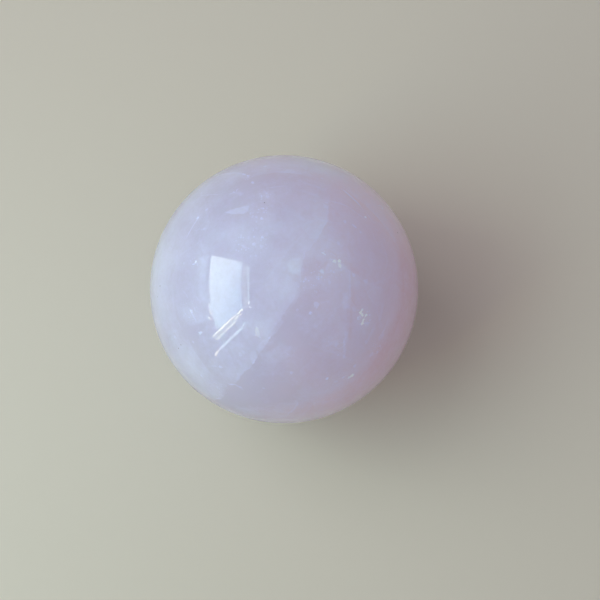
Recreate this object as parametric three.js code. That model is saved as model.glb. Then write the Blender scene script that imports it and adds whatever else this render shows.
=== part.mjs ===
// A polished rose quartz ball: one solid stone, lapped round, with one small flat ground on its
// underside so that it stands without rolling.
// Millimetres, +Z up. The origin is the middle of the flat, where the ball rests.
import * as THREE from "three";

// Driving dimensions
const ballDiameter = 50;
const flatDiameter = 10;

// How finely the round surface is divided
const sidesAround = 72;
const ringsAboveWidest = 18;
const ringsBelowWidest = 16;

const ballRadius = ballDiameter / 2;
const flatRadius = flatDiameter / 2;
// The flat cuts the ball this far below its centre, which is the centre's height above the table.
const centreHeight = Math.sqrt(ballRadius ** 2 - flatRadius ** 2);

const roseQuartz = new THREE.MeshStandardMaterial({
  color: new THREE.Color().setRGB(0.74, 0.71, 0.82, THREE.SRGBColorSpace),
  roughness: 0.08,
  metalness: 0,
});

// The ball's outline in a half plane through its axis, from the middle of the flat round to the
// crown. The latitude is measured up from the ball's widest ring, so that ring is one of the points
// and the ball measures its full diameter.
function ballOutline() {
  const flatLatitude = -Math.asin(centreHeight / ballRadius);
  const pointAt = (latitude) =>
    new THREE.Vector2(
      ballRadius * Math.cos(latitude),
      centreHeight + ballRadius * Math.sin(latitude),
    );
  const outline = [new THREE.Vector2(0, 0), new THREE.Vector2(flatRadius, 0)];
  for (let ring = 1; ring < ringsBelowWidest; ring++)
    outline.push(pointAt(flatLatitude * (1 - ring / ringsBelowWidest)));
  for (let ring = 0; ring < ringsAboveWidest; ring++)
    outline.push(pointAt((Math.PI / 2) * (ring / ringsAboveWidest)));
  outline.push(new THREE.Vector2(0, centreHeight + ballRadius));
  return outline;
}

// A lathe turns its outline about Y, so the finished ball is stood up to have its axis on Z.
function makeBall() {
  const geometry = new THREE.LatheGeometry(ballOutline(), sidesAround);
  geometry.rotateX(Math.PI / 2);
  const ball = new THREE.Mesh(geometry, roseQuartz);
  ball.name = "rose_quartz_ball";
  return ball;
}

const part = new THREE.Group();
part.name = "polished_stone_ball";
part.add(makeBall());

export default part;
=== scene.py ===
# A polished rose quartz ball on a pale table, lit by one tall soft window on its left.

import inspect
import math
import random

import bpy
from mathutils import Matrix, Vector


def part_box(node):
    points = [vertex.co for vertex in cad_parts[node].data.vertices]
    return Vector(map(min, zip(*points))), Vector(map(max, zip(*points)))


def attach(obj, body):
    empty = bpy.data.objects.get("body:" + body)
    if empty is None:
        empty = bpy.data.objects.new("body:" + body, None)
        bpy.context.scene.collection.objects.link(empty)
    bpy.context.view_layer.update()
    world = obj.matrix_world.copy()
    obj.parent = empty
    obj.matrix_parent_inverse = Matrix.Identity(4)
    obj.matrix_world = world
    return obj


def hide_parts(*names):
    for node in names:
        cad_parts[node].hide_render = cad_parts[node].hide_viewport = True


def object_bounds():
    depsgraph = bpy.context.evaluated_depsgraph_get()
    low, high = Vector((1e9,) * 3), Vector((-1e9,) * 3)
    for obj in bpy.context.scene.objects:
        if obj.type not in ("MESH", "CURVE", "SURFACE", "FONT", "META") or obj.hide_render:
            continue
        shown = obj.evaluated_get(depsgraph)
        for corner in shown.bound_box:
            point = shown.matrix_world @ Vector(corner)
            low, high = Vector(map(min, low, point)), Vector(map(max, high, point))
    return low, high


mm = 0.001  # the frame is in metres

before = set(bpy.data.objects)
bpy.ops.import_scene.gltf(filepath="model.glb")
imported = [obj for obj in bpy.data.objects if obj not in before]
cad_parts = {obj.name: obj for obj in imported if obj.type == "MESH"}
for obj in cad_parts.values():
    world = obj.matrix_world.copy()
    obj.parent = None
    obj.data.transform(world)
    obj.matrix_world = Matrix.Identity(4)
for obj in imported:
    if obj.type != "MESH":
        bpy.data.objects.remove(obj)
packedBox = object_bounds()
ballLow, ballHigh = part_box("rose_quartz_ball")
ballRadius = (ballHigh.x - ballLow.x) / 2
ballCentre = Vector((0, 0, ballHigh.z - ballRadius))
flatHeight = ballLow.z
print(f"frame loaded: ball {2 * ballRadius / mm:.1f} mm across, centre {ballCentre.z / mm:.1f} mm up")


# Camera

cameraView = {
    "pictureSide": 600,  # pixels, both ways
    "outlineCentre": (284.0, 289.2),  # where the ball's outline is in the picture, in pixels
    "outlineRadius": 134.3,  # pixels
    "elevation": 78,  # degrees above the table
    "distance": 8,  # from the ball's centre, in ball radii
    "sensor": 36,  # mm
    "nearClip": 0.01,  # metres
}


def cameraAxes():
    elevation = math.radians(cameraView["elevation"])
    back = Vector((0, -math.cos(elevation), math.sin(elevation)))
    right = Vector((1, 0, 0))
    return right, back.cross(right), back


def focalPixels():
    return cameraView["outlineRadius"] / math.tan(math.asin(1 / cameraView["distance"]))


def makeCamera():
    right, up, back = cameraAxes()
    side = cameraView["pictureSide"]
    data = bpy.data.cameras.new("photoCamera")
    data.sensor_width = cameraView["sensor"]
    data.lens = cameraView["sensor"] * focalPixels() / side
    data.shift_x = (side / 2 - cameraView["outlineCentre"][0]) / side
    data.shift_y = (cameraView["outlineCentre"][1] - side / 2) / side
    data.clip_start = cameraView["nearClip"]
    camera = bpy.data.objects.new("photoCamera", data)
    bpy.context.scene.collection.objects.link(camera)
    camera.rotation_euler = Matrix((right, up, back)).transposed().to_euler()
    camera.location = ballCentre + back * cameraView["distance"] * ballRadius
    bpy.context.scene.camera = camera
    print(f"camera: {data.lens:.1f} mm lens, {cameraView['elevation']} degrees above the table")


# Places on the ball, in ball radii from its centre


def sightLine(pixel):  # where the camera is, and which way it looks to see that pixel
    right, up, back = cameraAxes()
    x, y = (p - c for p, c in zip(pixel, cameraView["outlineCentre"]))
    return back * cameraView["distance"], (right * x - up * y - back * focalPixels()).normalized()


def seenAt(pixel):
    eye, ray = sightLine(pixel)
    towards = -eye.dot(ray)
    return (eye + ray * (towards - math.sqrt(towards**2 - eye.dot(eye) + 1))).normalized()


def seen(*pixels):
    return [seenAt(p) for p in pixels]


# Shader nodes as Python expressions


class Wire:  # one output socket
    def __init__(self, shader, socket):
        self.shader = shader
        self.socket = socket

    def maths(self, operation, *values):
        return self.shader.node("ShaderNodeMath", {"operation": operation}, values)

    def __add__(self, other):
        return self.maths("ADD", self, other)

    def __radd__(self, other):
        return self.maths("ADD", other, self)

    def __sub__(self, other):
        return self.maths("SUBTRACT", self, other)

    def __rsub__(self, other):
        return self.maths("SUBTRACT", other, self)

    def __mul__(self, other):
        return self.maths("MULTIPLY", self, other)

    def __rmul__(self, other):
        return self.maths("MULTIPLY", other, self)

    def __abs__(self):
        return self.maths("ABSOLUTE", self)

    def exp(self):
        return self.maths("EXPONENT", self)

    def atLeast(self, value):
        return self.maths("MAXIMUM", self, value)

    def atMost(self, value):
        return self.maths("MINIMUM", self, value)

    def ease(self, start, stop, height=1):  # 0 at start, the height at stop, smooth between
        ends = {"Value": self, "From Min": start, "From Max": stop, "To Max": height}
        return self.shader.node("ShaderNodeMapRange", {"interpolation_type": "SMOOTHSTEP"}, ends)

    def vector(self, operation, other=None, output=0):
        values = [self] if other is None else [self, other]
        return self.shader.node("ShaderNodeVectorMath", {"operation": operation}, values, output)

    def dot(self, other):
        return self.vector("DOT_PRODUCT", other, "Value")

    def distance(self, other):
        return self.vector("DISTANCE", other, "Value")

    def chance(self):  # a random number for each of the cells
        colour = Wire(self.shader, self.socket.node.outputs["Color"])
        return colour.dot((1, 0, 0))


class Shader:  # the nodes of one material or node group
    def __init__(self, tree):
        self.tree = tree
        tree.nodes.clear()

    def node(self, kind, settings, values, output=0):
        made = self.tree.nodes.new(kind)
        for name, value in settings.items():
            if name == "extend":  # of a curve
                made.mapping.extend = value
            elif name == "points":  # of a curve
                self.setPoints(made.mapping, value)
            else:
                setattr(made, name, value)
        for name, value in values.items() if isinstance(values, dict) else enumerate(values):
            if isinstance(value, Wire):
                self.tree.links.new(value.socket, made.inputs[name])
            else:
                made.inputs[name].default_value = value
        return Wire(self, made.outputs[output]) if made.outputs else None

    def setPoints(self, mapping, points):
        curve = mapping.curves[0].points
        while len(curve) < len(points):
            curve.new(1, 1)
        for point, place in zip(curve, points):
            point.location = place
        mapping.update()

    def place(self):  # ball radii from the ball's centre
        position = self.node("ShaderNodeTexCoord", {}, {}, "Object").vector("SUBTRACT", ballCentre)
        return position.vector("MULTIPLY", (1 / ballRadius,) * 3)

    def noise(self, place, scale, detail=3, roughness=0.5, output=0):
        values = {"Vector": place, "Scale": scale, "Detail": detail, "Roughness": roughness}
        return self.node("ShaderNodeTexNoise", {}, values, output)

    def stretch(self, place, scale):
        return self.node("ShaderNodeMapping", {}, {"Vector": place, "Scale": scale})

    def cells(self, place, scale, feature="F1"):
        return self.node("ShaderNodeTexVoronoi", {"feature": feature}, {"Vector": place, "Scale": scale})

    def warp(self, place, *steps):  # each step has a noise scale and how far it moves a place
        for scale, amount in steps:
            wander = self.noise(place, scale, output="Color").vector("SUBTRACT", (0.5, 0.5, 0.5))
            place = wander.vector("MULTIPLY", (amount,) * 3).vector("ADD", place)
        return place

    def curve(self, value, points, extend):  # a smooth curve through points from -1 to 1 both ways
        scaled = [((x + 1) / 2, (y + 1) / 2) for x, y in points]
        settings = {"extend": extend, "points": scaled}
        height = self.node("ShaderNodeFloatCurve", settings, {"Value": value * 0.5 + 0.5})
        return height * 2 - 1

    def mix(self, amount, first, second):
        return self.node("ShaderNodeMix", {"data_type": "RGBA"}, {0: amount, 6: first, 7: second}, 2)

    def add(self, group, *values):
        return self.node("ShaderNodeGroup", {"node_tree": group}, values)

    def finish(self, surface):
        self.node("ShaderNodeOutputMaterial", {}, {"Surface": surface})


def materialShader(name):
    material = bpy.data.materials.new(name)
    material.use_nodes = True
    return Shader(material.node_tree), material


def tint(red, green, blue):  # a screen colour, 0 to 255, as Blender's linear one
    parts = (c / 255 for c in (red, green, blue))
    linear = [p / 12.92 if p <= 0.04045 else ((p + 0.055) / 1.055) ** 2.4 for p in parts]
    return (*linear, 1)


# Rose quartz

stone = {
    # The body turns lighter and warmer away from the window: painted glow for light that passes through the
    # stone.
    "mauve": tint(216, 200, 219),  # painted glow: a lighter body away from the window
    "lavender": tint(183, 180, 206),
    "pinkRimShade": tint(211, 184, 195),  # painted shade: darker, pinker rim low on the right
    "blush": tint(232, 206, 216),  # high on the right
    "milk": tint(212, 216, 255),  # clouds, veils and flakes
    "paleMilk": tint(222, 215, 243),  # warmer milk away from the window, the same painted glow
    "glint": tint(232, 239, 255),  # painted glints: the brightest flakes
    "shade": tint(120, 112, 128),  # specks of dirt in the stone
    "haze": 0.26,  # how milky it is all over
    "clearing": 0.08,  # milk taken off all over before the contrast
    "contrast": 1.25,  # how much the marks stand out
    "billows": {"scale": 1.7, "detail": 5, "roughness": 0.6, "strength": 0.20},
    "mottle": {"scale": 7, "detail": 6, "roughness": 0.65, "strength": 0.34},
    "grit": {"scale": 34, "detail": 4, "roughness": 0.7, "strength": 0.36},
    "streaks": {"scale": 2.5, "detail": 4, "roughness": 0.6, "strength": 0.16},
    "streakStretch": (1, 1, 7),  # the streaks are that much thinner one way
    "grains": {"scale": 2.6, "warp": (2, 0.3), "strength": 0.08},  # crystals
    "seams": {"scale": 2.2, "width": 0.03, "strength": 0.05},  # between crystals
    "patches": {"scale": 5, "detail": 3, "roughness": 0.6, "ends": (0.3, 0.7), "least": 0.5},  # in layers
    "specks": {"scale": 60, "ends": (0.5, 0.2), "rarity": (0.4, 0.9)},  # painted glints; ends in cells
    "straySpecks": (0.6, 0.8, 0.2),  # mottle where they begin and where they are full, strength
    "reach": 80 * mm,  # how far light wanders in the stone
    "reachTint": (1.0, 0.80, 0.92),
    "polish": 0.01,  # roughness
    "polishWander": {"scale": 5, "amount": 0.006},
    "ground": 0.5,  # roughness of the flat underneath
    "groundMilk": 0.5,
    "groundSlope": (0.99, 0.999),  # how squarely down the surface faces where the flat begins and is full
    "refraction": 1.544,
    "ragged": ((3, 0.03), (9, 0.035), (30, 0.012)),  # of the clouds: noise scale, ball radii
    "jagged": ((10, 0.016), (40, 0.007)),  # of the sharper marks
    "crumbled": (90, 0.026),  # of the flakes, on top of that
    "scalloped": (11, 0.035),  # of the veils, likewise
}

# Veils are healed cracks across the stone, milkier on their left. Each has its edge from top to bottom
# with the strength at each point, how far the milk takes to fade away and how soft the edge is.
veils = [
    {
        "edge": [
            (331, 178, 0.02),
            (330, 192, 0.03),
            (328, 207, 0.05),
            (327, 216, 0.06),
            (325, 225, 0.07),
            (320, 235, 0.07),
            (313, 246, 0.08),
            (305, 255, 0.10),
            (302, 263, 0.26),
            (301, 274, 0.30),
            (300, 286, 0.12),
            (298, 297, 0.11),
            (293, 306, 0.10),
            (286, 317, 0.11),
            (281, 326, 0.15),
            (277, 332, 0.17),
            (271, 338, 0.20),
            (265, 346, 0.18),
            (259, 354, 0.16),
            (253, 363, 0.19),
            (249, 369, 0.20),
            (243, 373, 0.22),
            (239, 380, 0.22),
            (235, 385, 0.20),
            (231, 391, 0.20),
            (225, 396, 0.19),
            (219, 399.5, 0.16),
        ],
        "fade": 0.6,
        "crisp": 0.006,
    },
    {
        "edge": [
            (299, 277, 0.0),
            (298, 288, 0.10),
            (294, 298, 0.16),
            (289, 306, 0.16),
            (284, 314, 0.14),
            (278, 323, 0.11),
            (273, 330, 0.09),
            (268, 337, 0.0),
        ],
        "fade": 0.25,
        "crisp": 0.008,
    },
    {
        "edge": [
            (331, 190, 0.0),
            (329, 207, 0.20),
            (328, 216, 0.27),
            (325.5, 225, 0.29),
            (320, 235, 0.18),
            (313, 246, 0.12),
            (305, 255, 0.0),
        ],
        "fade": 0.08,
        "crisp": 0.007,
    },
]

# Milky layers: each fills the side of an arc that "towards" lies on, with a brighter lip along the arc.
layers = [
    {
        "arc": seen((350, 262), (350.5, 300), (345, 361)),
        "towards": seenAt((335, 300)),
        "milk": 0.07,
        "fade": 0.16,
        "lip": 0.05,
        "crisp": 0.006,
    },
    {
        "arc": seen((342, 264), (362, 278), (384, 289)),
        "towards": seenAt((360, 290)),
        "milk": 0.10,
        "fade": 0.12,
        "lip": 0.04,
        "crisp": 0.008,
    },
    {
        "arc": seen((184, 326), (196, 353), (211, 373)),
        "towards": seenAt((185, 365)),
        "milk": 0.14,
        "fade": 0.40,
        "lip": 0.02,
        "crisp": 0.008,
    },
    {
        "arc": seen((180, 329), (193, 325.5), (208, 319.5)),
        "towards": seenAt((190, 305)),
        "milk": 0.15,
        "fade": 0.14,
        "lip": 0.0,
        "crisp": 0.012,
    },
    {
        "arc": seen((214, 177), (233, 172), (251, 178)),
        "towards": seenAt((232, 184)),
        "milk": 0.05,
        "fade": 0.10,
        "lip": 0.18,
        "crisp": 0.006,
    },
    {
        "arc": seen((205, 395), (214, 399.5), (224, 397)),
        "towards": seenAt((214, 388)),
        "milk": 0.06,
        "fade": 0.10,
        "lip": 0.12,
        "crisp": 0.006,
    },
    {
        "arc": seen((254, 177), (282, 172.5), (312, 178)),
        "towards": seenAt((284, 166)),
        "milk": 0.20,
        "fade": 0.30,
        "lip": 0.02,
        "crisp": 0.008,
    },
    {
        "arc": seen((345, 190), (376, 216), (398, 249)),
        "towards": seenAt((385, 206)),
        "milk": 0.16,
        "fade": 0.50,
        "lip": 0.03,
        "crisp": 0.010,
    },
    {
        "arc": seen((403, 266), (403.5, 300), (392, 340)),
        "towards": seenAt((412, 300)),
        "milk": 0.05,
        "fade": 0.30,
        "lip": 0.06,
        "crisp": 0.010,
    },
    {
        "arc": seen((296, 300), (314, 288), (346, 272)),
        "towards": seenAt((315, 278)),
        "milk": 0.09,
        "fade": 0.08,
        "lip": 0.0,
        "crisp": 0.010,
    },
]

# Threads are thin bright lines: an arc, half width in ball radii, strength.
threads = [
    (seen((343, 190), (351.5, 197), (361, 207)), 0.012, 0.62),
    (seen((360, 206), (367, 214), (374, 223)), 0.010, 0.16),
    (seen((330, 201), (348, 207), (366, 221)), 0.010, 0.22),
    (seen((352.5, 224.5), (354.5, 226.2), (357, 228.5)), 0.011, 0.50),
    (seen((373, 232), (376, 238), (377, 243.5)), 0.010, 0.15),
    (seen((383.5, 238), (384.5, 240), (385.5, 242)), 0.010, 0.22),
    (seen((378.5, 203), (380, 206), (382.5, 209.5)), 0.012, 0.90),
    (seen((384, 248), (386, 258), (385, 268)), 0.018, 0.12),
    (seen((385, 329), (382, 334), (379, 341)), 0.021, 0.24),
    (seen((389, 318), (386, 325), (384, 330)), 0.013, 0.14),
    (seen((375, 325), (371, 333), (366, 344)), 0.021, 0.16),
    (seen((383, 303), (381.5, 312), (379, 322)), 0.024, 0.16),
    (seen((199, 217), (193, 226), (186, 239)), 0.008, 0.32),
    (seen((200, 195.5), (209, 195), (219, 194.5)), 0.008, 0.18),
    (seen((268, 187.5), (276, 186.5), (284, 186)), 0.008, 0.16),
    (seen((230, 193.4), (234, 191), (239, 189)), 0.009, 0.50),
    (seen((194, 231), (200, 230), (206, 228)), 0.006, 0.12),
    (seen((350, 392), (357, 381), (364, 370)), 0.007, 0.10),
    (seen((230, 189), (236, 184.5), (243, 181)), 0.015, -0.12),
    (seen((300, 181), (312, 185.5), (325, 189.5)), 0.020, 0.13),
    (seen((300, 190.5), (309, 193), (318, 196)), 0.022, 0.10),
    (seen((264, 190), (266, 194), (268.5, 199)), 0.009, 0.20),
    (seen((260, 192), (261.5, 195.5), (262, 199)), 0.009, 0.16),
    (seen((228.5, 384), (236, 386), (244, 389)), 0.011, 0.46),
    (seen((233, 388.5), (238, 389.5), (243, 391.5)), 0.011, -0.20),
    (seen((298, 402), (295, 409.5), (287, 415)), 0.013, 0.22),
    (seen((312, 404), (316, 401.5), (320, 400)), 0.009, 0.20),
    (seen((189.5, 309), (193, 315), (196.5, 322)), 0.010, 0.32),
    (seen((184, 291), (186, 294), (188.5, 298)), 0.012, 0.16),
    (seen((195, 297), (197.5, 300), (200, 304)), 0.011, 0.12),
    (seen((322, 304), (325, 302), (329, 300)), 0.008, 0.12),
    (seen((335, 343), (340, 345), (345, 344)), 0.010, 0.16),
    (seen((349.5, 272), (350, 286), (349.5, 302)), 0.014, 0.10),
    (seen((345.5, 329), (346, 336), (344.5, 343)), 0.017, 0.14),
    (seen((344.5, 342), (344.5, 350), (344.5, 359)), 0.016, 0.17),
    (seen((252.5, 364), (253, 361.5), (254, 359)), 0.009, 0.34),
    (seen((288.5, 348.5), (290, 352), (288.5, 356.5)), 0.012, 0.26),
    (seen((331, 253), (333.5, 255), (336, 257)), 0.008, 0.18),
    (seen((327, 257.5), (335, 260.5), (342, 264.5)), 0.008, 0.12),
    (seen((241, 244.5), (244, 246.5), (247.5, 248.5)), 0.012, 0.18),
    (seen((259, 236.5), (264, 234.7), (268.5, 235)), 0.008, 0.18),
    (seen((303, 259), (304, 255), (306.5, 251)), 0.012, 0.16),
    (seen((352, 300), (354.5, 303.5), (357, 307)), 0.008, -0.12),
    (seen((333, 312), (336, 318), (341, 322)), 0.008, 0.09),
    (seen((263, 191), (264.5, 195), (266, 200)), 0.007, 0.08),
    (seen((266, 190), (268, 194), (270, 198)), 0.007, 0.08),
    (seen((254, 350), (256, 351.5), (258.5, 353)), 0.009, -0.16),
    (seen((262, 343), (264, 344.3), (266, 345)), 0.009, -0.14),
]

# Flakes are small breaks with painted glints where they catch light: both ends, half width, strength.
flakes = [
    (seen((363, 309.4), (361, 310.8)), 0.011, 0.7),
    (seen((360.4, 311.8), (360.8, 313.4)), 0.013, 1.4),
    (seen((361.8, 314), (362.8, 316)), 0.010, 1.0),
    (seen((365.4, 316.6), (366.8, 314)), 0.009, 1.5),
    (seen((361.8, 324.8), (362.8, 322)), 0.010, 1.5),
    (seen((363, 321), (364, 319.2)), 0.008, 0.9),
    (seen((358.4, 316.5), (358.8, 319)), 0.014, 0.28),
    (seen((366.4, 322.6), (367.8, 323.4)), 0.014, 0.28),
    (seen((353, 308.5), (356, 310.5)), 0.016, 0.14),
    (seen((322, 252), (325, 254.6)), 0.010, 0.55),
    (seen((334.3, 260.6), (334.6, 262.4)), 0.016, 0.50),
    (seen((338.8, 261.4), (340, 261.6)), 0.015, 0.85),
    (seen((339.6, 264.6), (340.4, 268)), 0.015, 0.50),
    (seen((320.6, 270.4), (323, 272.2)), 0.016, 0.50),
    (seen((310, 313.3), (311, 312.7)), 0.014, 0.50),
    (seen((316, 302.6), (316.8, 307)), 0.018, 0.30),
    (seen((297, 309.5), (298, 309.5)), 0.009, 0.22),
    (seen((315.5, 326), (317, 326)), 0.016, 0.12),
    (seen((353.2, 274.4), (354, 275.6)), 0.014, 0.32),
    (seen((365, 281.4), (367, 281)), 0.019, 0.22),
    (seen((305.6, 279.2), (306.4, 279.4)), 0.012, 0.25),
    (seen((317, 277.5), (319, 279)), 0.012, 0.15),
    (seen((329.5, 281), (330.5, 283)), 0.011, 0.20),
    (seen((343.5, 356), (344.5, 358.5)), 0.010, 0.14),
    (seen((348.6, 378.4), (350, 376.8)), 0.013, 0.70),
    (seen((351.2, 376.4), (353, 374.8)), 0.016, 0.90),
    (seen((342.6, 378), (345.4, 376.2)), 0.009, 0.40),
    (seen((325.8, 379.6), (328.2, 377.4)), 0.012, 0.70),
    (seen((334, 382.3), (338.6, 381.3)), 0.012, 0.15),
    (seen((332.6, 384.6), (333.4, 384.2)), 0.010, 0.20),
    (seen((355.6, 364.4), (354.2, 367.4)), 0.011, 0.36),
    (seen((369.6, 355.2), (373.6, 353.2)), 0.016, 0.28),
    (seen((377.3, 351.8), (376.6, 353.6)), 0.010, 0.40),
    (seen((380, 345.6), (380.6, 346.4)), 0.010, 0.34),
    (seen((366, 341.6), (366.6, 343.4)), 0.015, 0.16),
    (seen((291, 372.4), (291.4, 374)), 0.013, 0.28),
    (seen((263.2, 387.6), (263.6, 388.6)), 0.011, 0.26),
    (seen((292.4, 384.6), (292.8, 385.2)), 0.009, 0.22),
    (seen((219, 366.6), (221.8, 367.2)), 0.012, 0.30),
    (seen((212, 365.8), (217, 366.2)), 0.009, 0.14),
    (seen((239.6, 352.4), (240.4, 356.6)), 0.011, 0.16),
    (seen((242.6, 351.6), (243.4, 352.4)), 0.017, 0.13),
    (seen((268, 337.7), (270.4, 337.1)), 0.010, 0.26),
    (seen((216.5, 398.6), (221, 398)), 0.010, 0.26),
    (seen((199, 333), (202.4, 332.8)), 0.011, 0.46),
    (seen((193, 341.6), (193.6, 342.4)), 0.011, 0.36),
    (seen((174.4, 337), (176, 337.2)), 0.014, 0.18),
    (seen((201, 375), (202, 376.2)), 0.010, 0.30),
    (seen((190.4, 309.6), (192.2, 312.2)), 0.013, 0.42),
    (seen((195.1, 262.8), (196.3, 261)), 0.008, 1.0),
    (seen((192.8, 265), (194, 263.6)), 0.008, 0.50),
    (seen((183.2, 263), (184, 263.2)), 0.010, 0.20),
    (seen((206.2, 209.4), (207, 209.6)), 0.014, 0.26),
    (seen((196.2, 219), (198.8, 216.8)), 0.009, 0.50),
    (seen((204, 229), (206, 228.2)), 0.010, 0.14),
    (seen((252.2, 181.4), (253.8, 183.4)), 0.012, 0.5),
    (seen((248, 175.4), (249.6, 175.8)), 0.010, 0.36),
    (seen((247, 178), (248, 177.8)), 0.009, 0.28),
    (seen((243, 173.8), (246, 174.6)), 0.010, 0.28),
    (seen((264.4, 166), (265.4, 166.8)), 0.012, 0.30),
    (seen((321.6, 178.6), (322.6, 178.6)), 0.010, 0.20),
    (seen((324, 205), (327, 208)), 0.018, 0.18),
    (seen((326.6, 202.6), (327.4, 203.2)), 0.010, 0.16),
    (seen((338.4, 242), (338.8, 244)), 0.014, 0.18),
    (seen((365, 216.8), (365.8, 217.6)), 0.012, 0.95),
    (seen((344.6, 221.4), (345.6, 221.8)), 0.014, 0.32),
    (seen((360.2, 231.6), (361, 232.8)), 0.010, 0.24),
    (seen((375.6, 228.4), (377.8, 230.8)), 0.009, 0.18),
    (seen((250, 213), (250.6, 213.8)), 0.012, 0.24),
    (seen((261.2, 217.8), (262, 218.6)), 0.012, 0.32),
    (seen((256, 216.4), (257, 217.6)), 0.010, 0.16),
    (seen((262, 208), (262.8, 209)), 0.011, 0.24),
    (seen((253.4, 243.6), (254, 245)), 0.015, 0.24),
    (seen((261.6, 236.8), (262.2, 237.6)), 0.011, 0.24),
    (seen((261.8, 246), (261.6, 248)), 0.012, 0.16),
    (seen((251.6, 217), (252.6, 217.4)), 0.010, 0.14),
]

# Facets are flat patches inside the stone: corners, how soft the edge is, strength.
facets = [
    (
        seen((225, 212), (231, 209.5), (238, 207.5), (249.5, 206), (248, 211.5), (243, 214), (232, 214)),
        0.006,
        0.26,
    ),
    (seen((234, 193.5), (238, 191.5), (243, 193), (241, 196)), 0.014, 0.20),
    (seen((256, 326.5), (258.2, 328), (260.5, 338), (254.5, 336), (254.8, 331)), 0.006, 0.50),
    (seen((287, 264), (292, 258.5), (299.5, 258), (301.5, 271.5), (296, 274), (289, 272)), 0.014, 0.20),
    (seen((284, 276), (291, 275), (295, 286), (290, 292), (282, 290)), 0.030, 0.08),
    (seen((304, 260), (313, 256), (320, 262), (320, 275), (303, 277)), 0.012, -0.11),
    (seen((288, 272.5), (296, 274.5), (301, 276), (300, 283), (296, 281.5), (291, 277.5)), 0.012, -0.12),
    (seen((318, 262), (327, 262), (325, 269), (319, 270)), 0.012, -0.10),
    (seen((318, 250), (322, 249.5), (324, 256), (321, 260), (317, 258)), 0.016, 0.10),
    (seen((322, 243), (330, 239.5), (332, 246), (327, 250.5), (321, 250)), 0.012, 0.13),
    (
        seen((330, 257.5), (336, 259), (343, 265), (346, 269), (338, 272.5), (326, 273), (325.5, 269)),
        0.010,
        0.15,
    ),
    (seen((303, 279), (316, 275.5), (331, 276), (333, 282), (319, 287.5), (301, 291.5)), 0.014, 0.03),
    (seen((343, 294), (347, 293), (348.5, 308), (344, 310), (342, 303)), 0.014, 0.23),
    (seen((351.5, 282), (356, 284), (357, 300), (352.5, 308), (351.5, 300)), 0.014, -0.06),
    (seen((347, 311), (352, 311), (352, 323), (347, 322)), 0.007, -0.10),
    (seen((346.5, 325), (352, 327), (351, 340), (347, 338)), 0.008, -0.08),
    (
        seen((345, 266.5), (353, 274), (362, 278), (368, 279.5), (366, 284), (352, 288), (350, 280)),
        0.009,
        0.06,
    ),
    (seen((370, 279), (377, 283.5), (384, 290), (380, 300), (370, 290)), 0.014, 0.05),
    (seen((342, 261), (352, 263), (362, 275), (352, 273)), 0.014, -0.10),
    (
        seen((266, 355), (276, 346), (284, 342), (289.5, 346), (290.5, 355), (280, 361), (268, 364)),
        0.014,
        0.07,
    ),
    (seen((262, 340), (270, 337.5), (264, 347), (257.5, 352.5), (257, 347)), 0.008, 0.12),
    (seen((250, 352), (256, 350.5), (257, 357), (253, 364), (250, 359)), 0.008, 0.14),
    (seen((238, 373), (248, 368.5), (241, 377), (235, 382)), 0.012, 0.08),
    (seen((266, 345), (280, 339.5), (276, 347.5), (267, 352)), 0.016, -0.12),
    (seen((241, 376), (250, 369), (254, 378), (242, 388), (238, 383)), 0.016, -0.20),
    (seen((252, 365), (258, 358), (262, 366), (254, 372)), 0.016, -0.07),
    (seen((328, 345.5), (332, 341), (338, 340.5), (337, 345.5)), 0.010, 0.16),
    (seen((338, 323), (344, 322), (345, 332), (339, 333)), 0.014, 0.08),
    (seen((200, 258), (208, 257), (207, 302), (199, 300)), 0.025, 0.15),
    (seen((199, 259), (203, 256), (206, 263), (203, 263)), 0.010, 0.12),
    (seen((183, 308), (188, 306), (192, 312), (190, 318), (184, 317)), 0.016, 0.07),
    (seen((282, 398), (298, 401), (295, 409), (288, 414), (272, 411)), 0.016, 0.07),
    (seen((280, 212), (286, 214), (285, 221), (277, 221), (275, 215)), 0.016, -0.08),
    (seen((216, 220), (262, 217), (282, 217), (276, 240), (222, 246)), 0.020, 0.02),
    (seen((216, 370), (243, 374), (234, 387), (219, 398), (207, 393)), 0.030, 0.03),
]

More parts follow.
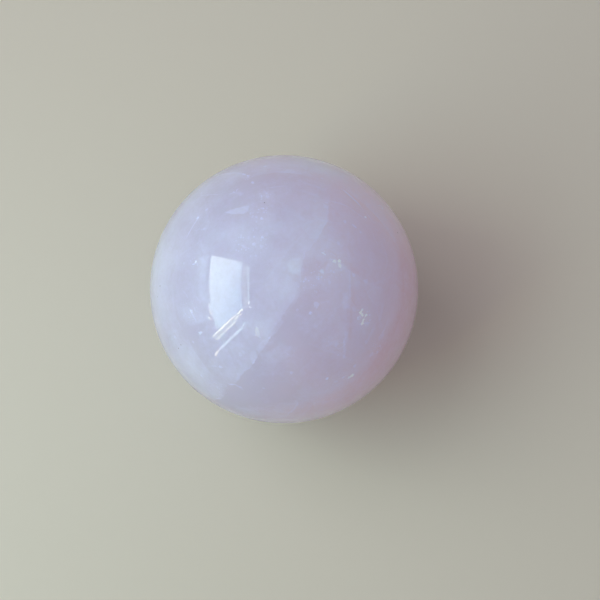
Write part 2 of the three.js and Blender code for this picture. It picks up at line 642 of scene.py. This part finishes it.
# Clouds have no edge: middle, radius, strength.
clouds = [
    (seenAt((187, 310)), 0.20, 0.04),
    (seenAt((288, 268)), 0.16, 0.06),
    (seenAt((247, 240)), 0.10, -0.10),
    (seenAt((254, 231)), 0.12, 0.12),
    (seenAt((280, 248)), 0.12, -0.10),
    (seenAt((333, 264)), 0.12, 0.06),
    (seenAt((336, 345)), 0.10, 0.14),
    (seenAt((205, 345)), 0.16, -0.10),
    (seenAt((326, 165)), 0.23, 0.56),
    (seenAt((374, 195)), 0.40, 0.20),
    (seenAt((368, 280)), 0.45, 0.10),
    (seenAt((366, 320)), 0.16, 0.08),
    (seenAt((327, 245)), 0.11, 0.16),
    (seenAt((240, 396)), 0.13, -0.46),
    (seenAt((212, 362)), 0.16, -0.06),
    (seenAt((180, 296)), 0.20, -0.14),
    (seenAt((152, 278)), 0.30, 0.14),
    (seenAt((164, 240)), 0.30, 0.10),
    (seenAt((212, 179)), 0.16, 0.16),
    (seenAt((265, 186)), 0.28, -0.07),
    (seenAt((209, 224)), 0.14, -0.12),
    (seenAt((226, 210)), 0.14, -0.10),
    (seenAt((256, 280)), 0.12, -0.12),
    (seenAt((266, 174)), 0.08, -0.12),
    (seenAt((366, 319)), 0.09, 0.12),
    (seenAt((204, 322)), 0.10, -0.10),
    (seenAt((306, 299)), 0.13, -0.16),
    (seenAt((286, 332)), 0.10, -0.18),
    (seenAt((272, 294)), 0.12, 0.06),
    (seenAt((350, 372)), 0.20, 0.10),
    (seenAt((322, 408)), 0.35, 0.06),
    (seenAt((314, 364)), 0.24, -0.10),
    (seenAt((162, 324)), 0.18, -0.12),
    (seenAt((212, 401)), 0.13, -0.32),
    (seenAt((186, 331)), 0.11, -0.24),
    (seenAt((400, 307)), 0.20, -0.06),
    (seenAt((228, 404)), 0.10, -0.18),
    (seenAt((209, 368)), 0.10, -0.10),
    (seenAt((252, 347)), 0.08, -0.07),
    (seenAt((288, 158)), 0.25, 0.12),
    (seenAt((246, 181)), 0.10, -0.14),
    (seenAt((194, 196)), 0.15, 0.16),
    (seenAt((305, 193)), 0.13, 0.05),
    (seenAt((295, 232)), 0.14, 0.06),
    (seenAt((306, 253)), 0.07, 0.14),
    (seenAt((280, 194)), 0.22, -0.08),
    (seenAt((277, 393)), 0.14, -0.22),
    (seenAt((222, 389)), 0.12, -0.10),
    (seenAt((229, 374)), 0.11, -0.14),
    (seenAt((194, 352)), 0.12, -0.10),
    (seenAt((365, 334)), 0.12, 0.08),
    (seenAt((279, 308)), 0.11, -0.10),
    (seenAt((252, 303)), 0.12, -0.08),
    (seenAt((265, 195)), 0.05, 0.12),
]

# Swarms are groups of specks with painted glints: middle, radius, strength.
swarms = [
    (seenAt((364, 317)), 0.085, 0.5),
    (seenAt((333, 263)), 0.110, 0.30),
    (seenAt((313, 281)), 0.110, 0.35),
    (seenAt((263, 195)), 0.070, 0.28),
    (seenAt((261, 214)), 0.080, 0.35),
    (seenAt((194, 262)), 0.050, 0.35),
    (seenAt((190, 312)), 0.090, 0.30),
    (seenAt((220, 390)), 0.110, 0.20),
    (seenAt((250, 243)), 0.130, 0.30),
    (seenAt((335, 348)), 0.100, 0.20),
    (seenAt((374, 350)), 0.070, 0.30),
    (seenAt((248, 177)), 0.060, 0.25),
]

# Dirt specks: place, radius.
dirt = [
    (seenAt((160, 286)), 0.0065),
    (seenAt((157.5, 296.8)), 0.005),
    (seenAt((178.5, 348.3)), 0.0060),
    (seenAt((180.9, 344.9)), 0.0058),
    (seenAt((264.4, 202.6)), 0.0055),
    (seenAt((397.8, 232.7)), 0.006),
]


# How marks fade out
fading = {
    "lip": 0.05,  # ball radii over which a layer's bright lip fades
    "arc": (1.3, 0.6),  # where an arc has faded out and where it is whole, in halves of its length
    "cloud": (1.5, 0.3),  # the same for a cloud, in its radii
    "swarm": (1.2, 0.5),
    "flakeRim": 0.2,  # how far a flake passes its outline, in half widths
    "flakeCore": 0.4,  # the share of it that is whole
}

# Where the colours change: a pair is where a colour begins and where it is full, in ball radii.
zones = {
    "across": (0.86, 0.1, -0.3),  # away from the window; the painted glow makes it lighter and warmer
    "wander": 0.5,  # how much that change strays
    "wanderScale": 2,
    "mauve": (-0.7, 0.5),
    "paleMilk": (-0.1, 0.7),
    # Painted shade: the rim low on the right, away from the window, turns darker and pinker.
    "pinkArc": seen((403, 260), (403, 300), (372, 366)),
    "pinkSide": seenAt((412, 300)),
    "pinkEdge": (-0.13, 0.03),
    "pinkMiddle": seenAt((408, 290)),
    "pinkReach": (1.5, 0.6),
    "blushMiddle": seenAt((384, 203)),
    "blushReach": (0.6, 0.1),
}

# Marks of the same kinds for the sides that the picture doesn't show. Chance picks between the two values
# of a pair. "nearest" is how far they come round to the camera's side, in ball radii.
unseen = {
    "seed": 5,
    "swing": 0.8,  # how unevenly points lie round a middle
    "layers": {
        "count": 6,
        "nearest": -0.2,
        "reach": (0.3, 0.8),
        "swing": 0.3,
        "inside": (0.1, 0.2),
        "milk": (0.12, 0.28),
        "fade": 0.3,
        "lip": (0, 0.12),
        "crisp": 0.010,
    },
    "facets": {
        "count": 14,
        "nearest": 0.1,
        "corners": (3, 5),
        "reach": (0.05, 0.16),
        "softness": (0.006, 0.03),
        "strength": (-0.08, 0.25),
    },
    "threads": {
        "count": 14,
        "nearest": 0.1,
        "reach": (0.08, 0.2),
        "halfWidth": 0.009,
        "strength": (0.15, 0.40),
    },
    "flakes": {
        "count": 44,
        "nearest": 0.1,
        "length": (0.01, 0.07),
        "halfWidth": (0.007, 0.014),
        "strength": (0.2, 0.8),
    },
    "clouds": {"count": 10, "nearest": -0.1, "radius": (0.15, 0.40), "strength": (-0.10, 0.20)},
    "swarms": {"count": 8, "nearest": 0.1, "radius": (0.05, 0.11), "strength": (0.15, 0.5)},
}


def strewMarks():
    chance = random.Random(unseen["seed"])
    back = cameraAxes()[2]

    def spot(kind):
        point = back
        while point.dot(back) > kind["nearest"]:
            point = Vector([chance.gauss(0, 1) for axis in range(3)]).normalized()
        return point

    def around(point, count, reach, swing=unseen["swing"]):  # points round it, as far off as the reach says
        start = point.orthogonal().normalized()
        start.rotate(Matrix.Rotation(chance.random() * math.tau, 3, point))
        turns = [math.tau * (number + chance.random() * swing) / count for number in range(count)]
        offsets = [Matrix.Rotation(turn, 3, point) @ start * chance.uniform(*reach) for turn in turns]
        return [(point + offset).normalized() for offset in offsets]

    kind = unseen["layers"]
    for number in range(kind["count"]):
        middle = spot(kind)
        first, last = around(middle, 2, kind["reach"], kind["swing"])
        towards = around(middle, 1, kind["inside"])[0]
        made = {"arc": [first, middle, last], "towards": towards, "milk": chance.uniform(*kind["milk"])}
        made["lip"] = chance.uniform(*kind["lip"])
        layers.append({**made, "fade": kind["fade"], "crisp": kind["crisp"]})
    kind = unseen["facets"]
    for number in range(kind["count"]):
        corners = around(spot(kind), chance.randint(*kind["corners"]), kind["reach"])
        facets.append((corners, chance.uniform(*kind["softness"]), chance.uniform(*kind["strength"])))
    kind = unseen["threads"]
    for number in range(kind["count"]):
        middle = spot(kind)
        first, last = around(middle, 2, kind["reach"])
        threads.append(([first, middle, last], kind["halfWidth"], chance.uniform(*kind["strength"])))
    kind = unseen["flakes"]
    for number in range(kind["count"]):
        first = spot(kind)
        last = around(first, 1, kind["length"])[0]
        flakes.append(([first, last], chance.uniform(*kind["halfWidth"]), chance.uniform(*kind["strength"])))
    for blots, kind in ((clouds, unseen["clouds"]), (swarms, unseen["swarms"])):
        for number in range(kind["count"]):
            blots.append((spot(kind), chance.uniform(*kind["radius"]), chance.uniform(*kind["strength"])))
    print(f"marks: {len(threads)} threads, {len(flakes)} flakes, {len(facets)} facets, {len(clouds)} clouds")


# Each of these becomes a node group of its name, and all but the last add a mark to the milk.


def blot(milk, place, middle, far, near, strength):
    return milk + place.distance(middle).ease(far, near, strength)


def flake(milk, place, first, last, far, near, strength):  # an ellipse round both ends
    return milk + (place.distance(first) + place.distance(last)).ease(far, near, strength)


def thread(milk, place, normal, height, stretch, halfWidth, middle, far, near, strength):
    offset = abs((place.dot(normal) - height) * stretch)
    return milk + offset.ease(halfWidth, 0) * place.distance(middle).ease(far, near, strength)


def layer(milk, place, normal, height, stretch, softness, haze, fade, lip, middle, far, near):
    depth = (place.dot(normal) - height) * stretch
    inside = depth.atLeast(0)
    glow = (inside * fade).exp() * haze + (inside * (-1 / fading["lip"])).exp() * lip
    return milk + depth.ease(softness * -1, softness) * glow * place.distance(middle).ease(far, near)


def side(inside, place, normal):  # keeps what lies on that side of a plane through the ball's centre
    return inside.atMost(place.dot(normal))


def makeGroup(build):  # a node group with the function's parameters as its inputs
    tree = bpy.data.node_groups.new(build.__name__, "ShaderNodeTree")
    names = list(inspect.signature(build).parameters)
    for name in names:
        kind = "Vector" if name in ("place", "middle", "first", "last", "normal") else "Float"
        tree.interface.new_socket(name, socket_type=f"NodeSocket{kind}")
    tree.interface.new_socket("result", in_out="OUTPUT", socket_type="NodeSocketFloat")
    shader = Shader(tree)
    given = shader.node("NodeGroupInput", {}, {}).socket.node
    shader.node("NodeGroupOutput", {}, [build(*[Wire(shader, given.outputs[name]) for name in names])])
    return tree


def arcPlane(arc, towards=None):  # its plane, and what turns a distance from that into one along the ball
    first, middle, last = arc
    normal = (middle - first).cross(last - middle).normalized()
    if towards is not None and normal.dot(towards - first) < 0:
        normal.negate()
    height = normal.dot(first)
    return normal, height, 1 / math.sqrt(1 - height**2)


def arcEnds(arc):  # its middle, and how far from there it has faded out and is still whole
    first, middle, last = arc
    reach = (last - first).length / 2
    far, near = fading["arc"]
    return middle, far * reach, near * reach


def addVeil(shader, milk, place, veil):
    points = seen(*[point[:2] for point in veil["edge"]])
    along = (points[-1] - points[0]).normalized()
    middle = sum(points, Vector()).normalized()
    outward = (middle - along * middle.dot(along)).normalized()
    across = outward.cross(along)
    lengthwise = place.dot(along)
    edge = shader.curve(lengthwise, [(p.dot(along), p.dot(across)) for p in points], "EXTRAPOLATED")
    strengths = [(p.dot(along), e[2]) for p, e in zip(points, veil["edge"])]
    strength = shader.curve(lengthwise, strengths, "HORIZONTAL")
    depth = edge - place.dot(across)
    fade = (depth.atLeast(0) * (-1 / veil["fade"])).exp()
    return milk + depth.ease(-veil["crisp"], veil["crisp"]) * fade * strength


def addLayers(shader, milk, place):
    group = makeGroup(layer)
    for item in layers:
        shape = (*arcPlane(item["arc"], item["towards"]), item["crisp"])
        glow = (item["milk"], -1 / item["fade"], item["lip"])
        milk = shader.add(group, milk, place, *shape, *glow, *arcEnds(item["arc"]))
    return milk


def addThreads(shader, milk, place):
    group = makeGroup(thread)
    for arc, halfWidth, strength in threads:
        milk = shader.add(group, milk, place, *arcPlane(arc), halfWidth, *arcEnds(arc), strength)
    return milk


def addFacets(shader, milk, place):
    group = makeGroup(side)
    for corners, softness, strength in facets:
        middle = sum(corners, Vector())
        inside = 1
        for first, second in zip(corners, corners[1:] + corners[:1]):
            normal = first.cross(second).normalized()
            inside = shader.add(group, inside, place, normal if normal.dot(middle) > 0 else -normal)
        milk = milk + inside.ease(-softness, softness, strength)
    return milk


def addFlakes(shader, milk, place):
    group = makeGroup(flake)
    rim, core = fading["flakeRim"], fading["flakeCore"]
    for (first, last), halfWidth, strength in flakes:
        length = (last - first).length
        around = math.sqrt(length**2 + 4 * halfWidth**2)
        limits = (around + rim * halfWidth, (1 - core) * length + core * around)
        milk = shader.add(group, milk, place, first, last, *limits, strength)
    return milk


def addBlots(shader, group, milk, place, blots, ends):
    far, near = ends
    for middle, radius, strength in blots:
        milk = shader.add(group, milk, place, middle, far * radius, near * radius, strength)
    return milk


def patternNoise(shader, place, look):
    return shader.noise(place, look["scale"], look["detail"], look["roughness"])


def addMarks(shader, group, ragged, jagged):
    # The marks with the fewest warps are added up first, or Cycles runs out of room for this shader.
    milk = addThreads(shader, 0, jagged)
    milk = addFacets(shader, milk, jagged)
    milky = addLayers(shader, 0, jagged)
    milk = addFlakes(shader, milk, shader.warp(jagged, stone["crumbled"]))
    scalloped = shader.warp(jagged, stone["scalloped"])
    for veil in veils:
        milk = addVeil(shader, milk, scalloped, veil)
    milk = addBlots(shader, group, milk, ragged, clouds, fading["cloud"])
    patches = stone["patches"]
    uneven = patternNoise(shader, ragged, patches).ease(*patches["ends"]) + patches["least"]
    return milky * uneven + milk


def stonePatterns(shader, place, ragged):  # soft clouds, fine mottle and crystal grains all through it
    grains = stone["grains"]
    return {
        "billows": patternNoise(shader, ragged, stone["billows"]),
        "mottle": patternNoise(shader, ragged, stone["mottle"]),
        "grit": patternNoise(shader, place, stone["grit"]),
        "streaks": patternNoise(shader, shader.stretch(ragged, stone["streakStretch"]), stone["streaks"]),
        "grains": shader.cells(shader.warp(place, grains["warp"]), grains["scale"]).chance(),
    }


def addPatterns(shader, milk, ragged, patterns):
    for name, pattern in patterns.items():
        milk = (pattern - 0.5) * stone[name]["strength"] + milk
    seams = stone["seams"]
    edges = shader.cells(ragged, seams["scale"], "DISTANCE_TO_EDGE")
    return milk + edges.ease(seams["width"], 0, seams["strength"])


# Painted glints: small bright specks, in swarms and strewn about.
def addSpecks(shader, group, milk, place, jagged, mottle):
    look = stone["specks"]
    swarm = addBlots(shader, group, 0, place, swarms, fading["swarm"])
    swarm = swarm + mottle.ease(*stone["straySpecks"])
    specks = shader.cells(jagged, look["scale"])
    bright = specks.ease(*look["ends"]) * specks.chance().ease(*look["rarity"])
    return milk + bright * swarm


def stoneColour(shader, place, ragged, milk):
    # Painted glow: body and milk turn lighter and warmer away from the window, for light passing through the
    # stone.
    across = place.dot(zones["across"])
    wander = shader.noise(place, zones["wanderScale"]) * zones["wander"]
    rightward = across + wander - zones["wander"] / 2
    body = shader.mix(rightward.ease(*zones["mauve"]), stone["lavender"], stone["mauve"])
    # Painted shade along the rim low on the right.
    normal, height, stretch = arcPlane(zones["pinkArc"], zones["pinkSide"])
    rim = ((ragged.dot(normal) - height) * stretch).ease(*zones["pinkEdge"])
    nearby = ragged.distance(zones["pinkMiddle"]).ease(*zones["pinkReach"])
    body = shader.mix(rim * nearby, body, stone["pinkRimShade"])
    high = ragged.distance(zones["blushMiddle"]).ease(*zones["blushReach"])
    body = shader.mix(high, body, stone["blush"])
    white = shader.mix(rightward.ease(*zones["paleMilk"]), stone["milk"], stone["paleMilk"])
    colour = shader.mix(milk, body, white)
    colour = shader.mix(milk * 2 - 2, colour, stone["glint"])  # painted glints, from where it is all milk
    for spot, radius in dirt:
        colour = shader.mix(place.distance(spot).ease(radius, radius / 2), colour, stone["shade"])
    return colour


def makeStoneMaterial():
    shader, material = materialShader("rose_quartz")
    place = shader.place()
    ragged = shader.warp(place, *stone["ragged"])
    jagged = shader.warp(place, *stone["jagged"])
    blotGroup = makeGroup(blot)
    milk = addMarks(shader, blotGroup, ragged, jagged)
    patterns = stonePatterns(shader, place, ragged)
    milk = addPatterns(shader, milk, ragged, patterns)
    milk = addSpecks(shader, blotGroup, milk, place, jagged, patterns["mottle"])
    milk = (milk - stone["clearing"]) * stone["contrast"] + stone["haze"]
    colour = stoneColour(shader, place, ragged, milk)

    downward = shader.node("ShaderNodeTexCoord", {}, {}, "Normal").dot((0, 0, -1))
    ground = downward.ease(*stone["groundSlope"])
    colour = shader.mix(ground * stone["groundMilk"], colour, stone["milk"])
    wander = stone["polishWander"]
    polish = stone["polish"] + shader.noise(place, wander["scale"]) * wander["amount"]

    surface = shader.node(
        "ShaderNodeBsdfPrincipled",
        {"subsurface_method": "RANDOM_WALK"},
        {
            "Base Color": colour,
            "Roughness": polish + ground * stone["ground"],
            "IOR": stone["refraction"],
            "Subsurface Weight": 1,
            "Subsurface Radius": stone["reachTint"],
            "Subsurface Scale": stone["reach"],
        },
    )
    shader.finish(surface)
    print(f"stone: {len(shader.tree.nodes)} nodes")
    return material


# The ball

ballShape = {
    "segments": 256,
    "rings": 128,
    "easedEdge": 0.25 * mm,  # round the flat
    "easedSteps": 3,
    "cutTolerance": 0.0001 * mm,
}


def makeBall():
    bpy.ops.object.select_all(action="DESELECT")
    bpy.ops.mesh.primitive_uv_sphere_add(
        segments=ballShape["segments"],
        ring_count=ballShape["rings"],
        radius=ballRadius,
        location=ballCentre,
    )
    ball = bpy.context.object
    ball.name = "polished_ball"
    bpy.ops.object.transform_apply(location=True, rotation=True, scale=True)

    # The flat is ground off the underside, and its edge is eased.
    bpy.ops.object.mode_set(mode="EDIT")
    bpy.ops.mesh.select_all(action="SELECT")
    bpy.ops.mesh.bisect(
        plane_co=(0, 0, flatHeight),
        plane_no=(0, 0, 1),
        use_fill=True,
        clear_inner=True,
        threshold=ballShape["cutTolerance"],
    )
    bpy.ops.mesh.bevel(
        offset=ballShape["easedEdge"],
        segments=ballShape["easedSteps"],
        affect="EDGES",
    )
    bpy.ops.object.mode_set(mode="OBJECT")
    bpy.ops.object.shade_smooth()
    ball.data.materials.append(makeStoneMaterial())
    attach(ball, "root")
    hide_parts("rose_quartz_ball")
    print(f"ball: {len(ball.data.polygons)} faces")


# The table and the light

table = {
    "size": 6,  # metres
    "colour": tint(219, 209, 192),
    "roughness": 0.5,
}

# The window stands where the ball mirrors it: its outline and its trims are pixels of the picture.
window = {
    "bearing": 4,  # degrees from -X towards +Y, the way that it stands from the ball
    "distance": 0.22,  # metres
    "pane": [
        (211.5, 255.6),
        (242.7, 262.4),
        (242.9, 308.3),
        (217, 330.8),
        (214.6, 322),
        (212.9, 316.5),
        (212.9, 313.4),
        (210.2, 309.8),
        (206.9, 304.8),
        (211.2, 303),
        (210.3, 299),
        (209.2, 289),
        (209.4, 274),
    ],
    "radiance": 4.0,
    "near": (1.20, 1.43, 1.33, 1),  # at the first corner
    "far": (0.38, 0.70, 0.86, 1),  # at the third
}

# The trims' colours
gold = (1.08, 1.08, 0.75, 1)
sky = (0.75, 1.08, 1.15, 1)
paleSky = (0.75, 1.05, 1.1, 1)

# Bright trims round the window: ends and width in the picture, radiance, colour.
trims = [
    ((213, 336.5), (243.2, 308.9), 1.2, 10, gold),
    ((214.8, 338), (239, 315.4), 3.8, 2.1, (0.95, 1.15, 0.75, 1)),
    ((216, 340), (236, 321.5), 1.3, 5.5, gold),
    ((235, 319), (241.6, 313.2), 1.3, 9, gold),
    ((209.3, 310.8), (211.8, 314), 1.3, 14, gold),
    ((208.6, 316.8), (211, 320), 1.4, 13, gold),
    ((245.2, 264.2), (245.5, 306), 3.8, 1.7, (0.95, 1.05, 0.8, 1)),
    ((248.5, 265.5), (248.7, 299.5), 1.6, 3.7, (0.8, 1.15, 1.05, 1)),
    ((248.9, 301.3), (249.1, 304.3), 2.0, 7, (1.0, 1.05, 0.9, 1)),
    ((250.2, 306), (250.6, 307.8), 1.8, 9, (0.9, 1.1, 1.0, 1)),
    ((217.6, 350.8), (215.6, 355.8), 2.4, 5.5, (1.15, 1.0, 0.68, 1)),
    ((219, 349.8), (224, 345.2), 1.8, 4.4, sky),
    ((224, 345.2), (230.5, 339), 2.8, 4.0, sky),
    ((230.5, 339), (235.5, 333.6), 3.0, 3.2, paleSky),
    ((235.5, 333.6), (242.2, 329.2), 2.2, 4.4, sky),
    ((242.4, 328.4), (244.4, 322.3), 1.3, 4.2, paleSky),
    ((238, 329), (241.4, 325.2), 1.1, 3.4, paleSky),
]

# A soft light over the window, left out of the ball's reflections
softbox = {
    "bearing": 25,  # degrees, as the window's
    "elevation": 50,
    "distance": 0.6,  # metres
    "size": 0.4,  # metres
    "watts": 0.93,
    "colour": (0.855, 0.889, 1.0),
}

room = {"colour": (0.33, 0.315, 0.355, 1)}


def makeTable():
    bpy.ops.object.select_all(action="DESELECT")
    bpy.ops.mesh.primitive_plane_add(size=table["size"])
    top = bpy.context.object
    top.name = "table"
    shader, material = materialShader("pale_table")
    finish = {"Base Color": table["colour"], "Roughness": table["roughness"]}
    shader.finish(shader.node("ShaderNodeBsdfPrincipled", {}, finish))
    top.data.materials.append(material)
    print(f"table: {table['size']} m across")


def mirrored(pixel):  # the point of the window's wall that the ball mirrors at that pixel
    bearing = math.radians(window["bearing"])
    towards = Vector((-math.cos(bearing), math.sin(bearing), 0))
    point = seenAt(pixel)
    ray = sightLine(pixel)[1]
    bounced = ray - 2 * ray.dot(point) * point
    start = ballCentre + point * ballRadius
    travel = (window["distance"] - (start - ballCentre).dot(towards)) / bounced.dot(towards)
    return start + bounced * travel


def makePane(name, outline, light):
    corners = [mirrored(pixel) for pixel in outline]
    bpy.ops.object.select_all(action="DESELECT")
    bpy.ops.mesh.primitive_circle_add(vertices=len(corners), fill_type="NGON")
    pane = bpy.context.object
    pane.name = name
    for vertex, corner in zip(pane.data.vertices, corners):
        vertex.co = corner
    pane.data.update()
    if pane.data.polygons[0].normal.dot(ballCentre - corners[0]) < 0:
        pane.data.flip_normals()
    pane.data.materials.append(light)
    pane.visible_camera = False


def makeLight(name, colour, radiance):  # shines from the front of a pane alone
    shader, material = materialShader(name)
    behind = shader.node("ShaderNodeNewGeometry", {}, {}, "Backfacing")
    light = {"Color": colour(shader), "Strength": (1 - behind) * radiance}
    shader.finish(shader.node("ShaderNodeEmission", {}, light))
    return material


def daylight(shader):
    first, third = (mirrored(window["pane"][corner]) for corner in (0, 2))
    diagonal = third - first
    position = shader.node("ShaderNodeTexCoord", {}, {}, "Object").vector("SUBTRACT", first)
    across = position.dot(diagonal / diagonal.length_squared)
    return shader.mix(across.ease(0, 1), window["near"], window["far"])


def makeWindow():
    makePane("window", window["pane"], makeLight("daylight", daylight, window["radiance"]))
    for number, (start, stop, width, radiance, colour) in enumerate(trims):
        along = (Vector(stop) - Vector(start)).normalized()
        side = Vector((-along.y, along.x)) * width / 2
        outline = [Vector(start) - side, Vector(stop) - side, Vector(stop) + side, Vector(start) + side]
        makePane(f"trim_{number}", outline, makeLight("trim", lambda shader: colour, radiance))
    print(f"window: {len(trims)} trims")


def makeSoftbox():
    bearing = math.radians(softbox["bearing"])
    elevation = math.radians(softbox["elevation"])
    level = Vector((-math.cos(bearing), math.sin(bearing), 0)) * math.cos(elevation)
    towards = level + Vector((0, 0, math.sin(elevation)))
    bpy.ops.object.light_add(type="AREA", location=ballCentre + towards * softbox["distance"])
    light = bpy.context.object
    light.name = "softbox"
    light.rotation_euler = towards.to_track_quat("Z", "Y").to_euler()
    light.data.size = softbox["size"]
    light.data.energy = softbox["watts"]
    light.data.color = softbox["colour"]
    light.visible_glossy = False
    light.visible_camera = False
    print(f"softbox: {softbox['watts']} W")


def makeRoom():
    world = bpy.data.worlds.new("room")
    world.use_nodes = True
    world.node_tree.nodes["Background"].inputs["Color"].default_value = room["colour"]
    bpy.context.scene.world = world
    print(f"room: background colour {room['colour'][:3]}")


bpy.context.scene.view_settings.view_transform = "Standard"
makeCamera()
strewMarks()
makeBall()
makeTable()
makeWindow()
makeSoftbox()
makeRoom()
